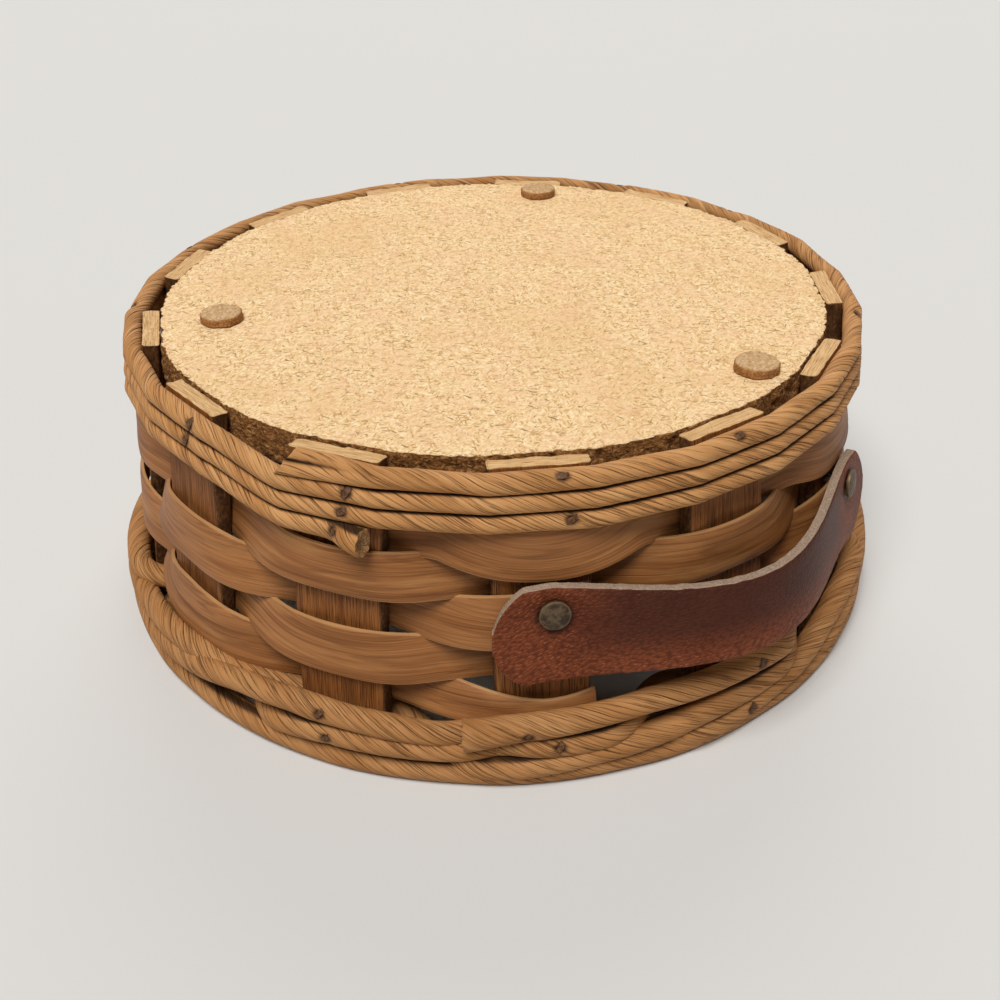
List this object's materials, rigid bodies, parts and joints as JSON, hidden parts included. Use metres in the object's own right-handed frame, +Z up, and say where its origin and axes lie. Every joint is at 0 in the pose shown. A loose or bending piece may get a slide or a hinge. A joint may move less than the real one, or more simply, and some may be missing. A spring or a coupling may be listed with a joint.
{
  "type": "casserole carrier basket",
  "caption": "Round open woven basket of flat stakes and splint on a pressed-board base, with rush borders and riveted leather strap handles, for carrying a baking dish.",
  "frame": {"origin": "middle of the circle that the rim stands on, with the basket turned over as in the picture", "axes": "+Z up through the base, which is on top; the handles lie a quarter stake round from +X and -X, towards +Y"},
  "size_m": [0.2572, 0.245, 0.0933],
  "materials": {
    "board": "raw pressed board, flecked",
    "cork": "pressed cork",
    "slat": "stained, rough sawn",
    "splint": "stained, satin",
    "rush": "twisted paper rush, matt",
    "leather": "smooth, worn, with raw edges",
    "aged_brass": "tarnished"
  },
  "bodies": {
    "basket": {"base_board": "board", "foot_right": "cork", "foot_back": "cork", "foot_left": "cork", "stake_01": "slat", "stake_02": "slat", "stake_03": "slat", "stake_04": "slat", "stake_05": "slat", "stake_06": "slat", "stake_07": "slat", "stake_08": "slat", "stake_09": "slat", "stake_10": "slat", "stake_11": "slat", "stake_12": "slat", "stake_13": "slat", "weaver": "splint", "base_winding": "rush", "rim_cord": "rush", "rim_rod_1": "rush", "rim_rod_2": "rush", "rim_rod_3": "rush", "strap_end_right_1": "leather", "strap_end_right_2": "leather", "strap_end_left_1": "leather", "strap_end_left_2": "leather", "rivet_right_1": "aged_brass", "rivet_right_2": "aged_brass", "rivet_left_1": "aged_brass", "rivet_left_2": "aged_brass", "rivet_washer_right_1": "aged_brass", "rivet_washer_right_2": "aged_brass", "rivet_washer_left_1": "aged_brass", "rivet_washer_left_2": "aged_brass"},
    "right_handle": {"strap_bow_right": "leather"},
    "left_handle": {"strap_bow_left": "leather"}
  },
  "joints": [
    {"name": "right_strap_lift", "type": "hinge", "parent": "basket", "child": "right_handle", "pos_m": [0.11347, 0.01378, 0.0483], "axis": [-0.1205, 0.9927, 0], "range_deg": [-25, 25]},
    {"name": "left_strap_lift", "type": "hinge", "parent": "basket", "child": "left_handle", "pos_m": [-0.11364, 0.0138, 0.0465], "axis": [-0.1205, -0.9927, 0], "range_deg": [-25, 25]}
  ]
}
